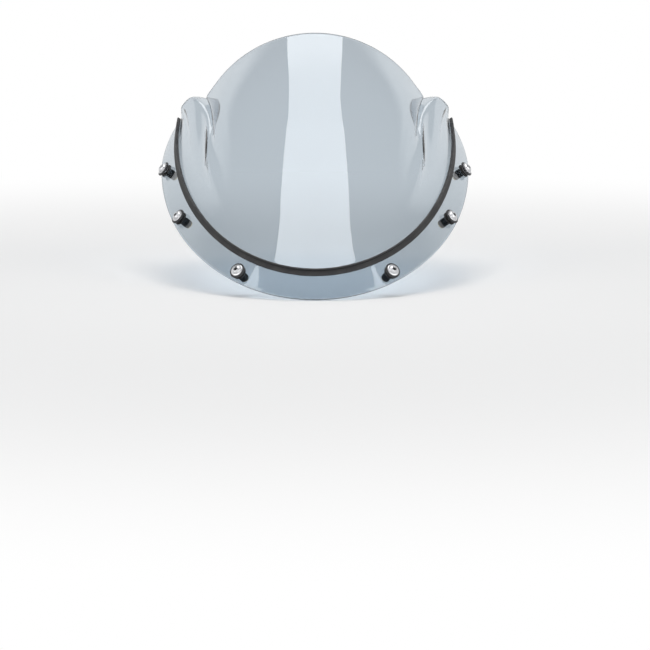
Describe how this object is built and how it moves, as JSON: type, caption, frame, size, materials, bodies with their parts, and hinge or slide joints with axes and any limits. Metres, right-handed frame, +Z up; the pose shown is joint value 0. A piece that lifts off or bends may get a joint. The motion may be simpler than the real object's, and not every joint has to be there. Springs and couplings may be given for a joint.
{
  "type": "motorcycle windshield screen",
  "caption": "Bubble windshield screen in smoked acrylic, with flared side wings, a hidden border under the fairing, a rubber seal strip and screws into rubber nuts.",
  "frame": {"origin": "lowest point of the line where the screen comes out of the fairing opening, on the sheet's outer face", "axes": "-Y points to the machine's nose, +Z is up, +X is the rider's left"},
  "size_m": [0.3678, 0.3488, 0.2767],
  "materials": {
    "smoked_acrylic": "clear, light smoke, polished",
    "seal_rubber": "matt black",
    "screw_steel": "stainless, turned",
    "washer_plastic": "black nylon",
    "collar_aluminium": "turned",
    "nut_rubber": "matt black",
    "insert_brass": "plain"
  },
  "bodies": {
    "screen_body": {"screen": "smoked_acrylic", "seal_strip": "seal_rubber", "collar_left_lower": "collar_aluminium", "collar_left_middle": "collar_aluminium", "collar_left_upper": "collar_aluminium", "collar_right_lower": "collar_aluminium", "collar_right_middle": "collar_aluminium", "collar_right_upper": "collar_aluminium", "rubber_nut_left_lower": "nut_rubber", "rubber_nut_left_middle": "nut_rubber", "rubber_nut_left_upper": "nut_rubber", "rubber_nut_right_lower": "nut_rubber", "rubber_nut_right_middle": "nut_rubber", "rubber_nut_right_upper": "nut_rubber", "insert_left_lower": "insert_brass", "insert_left_middle": "insert_brass", "insert_left_upper": "insert_brass", "insert_right_lower": "insert_brass", "insert_right_middle": "insert_brass", "insert_right_upper": "insert_brass"},
    "washer_left_lower_body": {"washer_left_lower": "washer_plastic"},
    "washer_left_middle_body": {"washer_left_middle": "washer_plastic"},
    "washer_left_upper_body": {"washer_left_upper": "washer_plastic"},
    "washer_right_lower_body": {"washer_right_lower": "washer_plastic"},
    "washer_right_middle_body": {"washer_right_middle": "washer_plastic"},
    "washer_right_upper_body": {"washer_right_upper": "washer_plastic"},
    "screw_left_lower_body": {"screw_left_lower": "screw_steel"},
    "screw_left_middle_body": {"screw_left_middle": "screw_steel"},
    "screw_left_upper_body": {"screw_left_upper": "screw_steel"},
    "screw_right_lower_body": {"screw_right_lower": "screw_steel"},
    "screw_right_middle_body": {"screw_right_middle": "screw_steel"},
    "screw_right_upper_body": {"screw_right_upper": "screw_steel"}
  },
  "joints": [
    {"name": "washer_left_lower_lift", "type": "slide", "parent": "screen_body", "child": "washer_left_lower_body", "axis": [0.4316, -0.7114, 0.5546], "range_m": [0, 0.016]},
    {"name": "screw_left_lower_turn", "type": "hinge", "parent": "washer_left_lower_body", "child": "screw_left_lower_body", "pos_m": [0.08408, 0.02233, -0.00693], "axis": [0.4316, -0.7114, 0.5546], "range_deg": [0, 7200]},
    {"name": "washer_left_middle_lift", "type": "slide", "parent": "screen_body", "child": "washer_left_middle_body", "axis": [0.6779, -0.4557, 0.5769], "range_m": [0, 0.016]},
    {"name": "screw_left_middle_turn", "type": "hinge", "parent": "washer_left_middle_body", "child": "screw_left_middle_body", "pos_m": [0.15305, 0.1384, 0.04096], "axis": [0.6779, -0.4557, 0.5769], "range_deg": [0, 7200]},
    {"name": "washer_left_upper_lift", "type": "slide", "parent": "screen_body", "child": "washer_left_upper_body", "axis": [0.785, -0.2864, 0.5493], "range_m": [0, 0.016]},
    {"name": "screw_left_upper_turn", "type": "hinge", "parent": "washer_left_upper_body", "child": "screw_left_upper_body", "pos_m": [0.17345, 0.24621, 0.08555], "axis": [0.785, -0.2864, 0.5493], "range_deg": [0, 7200]},
    {"name": "washer_right_lower_lift", "type": "slide", "parent": "screen_body", "child": "washer_right_lower_body", "axis": [-0.4316, -0.7114, 0.5546], "range_m": [0, 0.016]},
    {"name": "screw_right_lower_turn", "type": "hinge", "parent": "washer_right_lower_body", "child": "screw_right_lower_body", "pos_m": [-0.08408, 0.02233, -0.00693], "axis": [-0.4316, -0.7114, 0.5546], "range_deg": [0, 7200]},
    {"name": "washer_right_middle_lift", "type": "slide", "parent": "screen_body", "child": "washer_right_middle_body", "axis": [-0.6779, -0.4557, 0.5769], "range_m": [0, 0.016]},
    {"name": "screw_right_middle_turn", "type": "hinge", "parent": "washer_right_middle_body", "child": "screw_right_middle_body", "pos_m": [-0.15305, 0.1384, 0.04096], "axis": [-0.6779, -0.4557, 0.5769], "range_deg": [0, 7200]},
    {"name": "washer_right_upper_lift", "type": "slide", "parent": "screen_body", "child": "washer_right_upper_body", "axis": [-0.785, -0.2864, 0.5493], "range_m": [0, 0.016]},
    {"name": "screw_right_upper_turn", "type": "hinge", "parent": "washer_right_upper_body", "child": "screw_right_upper_body", "pos_m": [-0.17345, 0.24621, 0.08555], "axis": [-0.785, -0.2864, 0.5493], "range_deg": [0, 7200]}
  ],
  "couplings": [
    {"joint": "screw_left_lower_turn", "follows": "washer_left_lower_lift", "rad_per_m": 7854},
    {"joint": "screw_left_middle_turn", "follows": "washer_left_middle_lift", "rad_per_m": 7854},
    {"joint": "screw_left_upper_turn", "follows": "washer_left_upper_lift", "rad_per_m": 7854},
    {"joint": "screw_right_lower_turn", "follows": "washer_right_lower_lift", "rad_per_m": 7854},
    {"joint": "screw_right_middle_turn", "follows": "washer_right_middle_lift", "rad_per_m": 7854},
    {"joint": "screw_right_upper_turn", "follows": "washer_right_upper_lift", "rad_per_m": 7854}
  ]
}
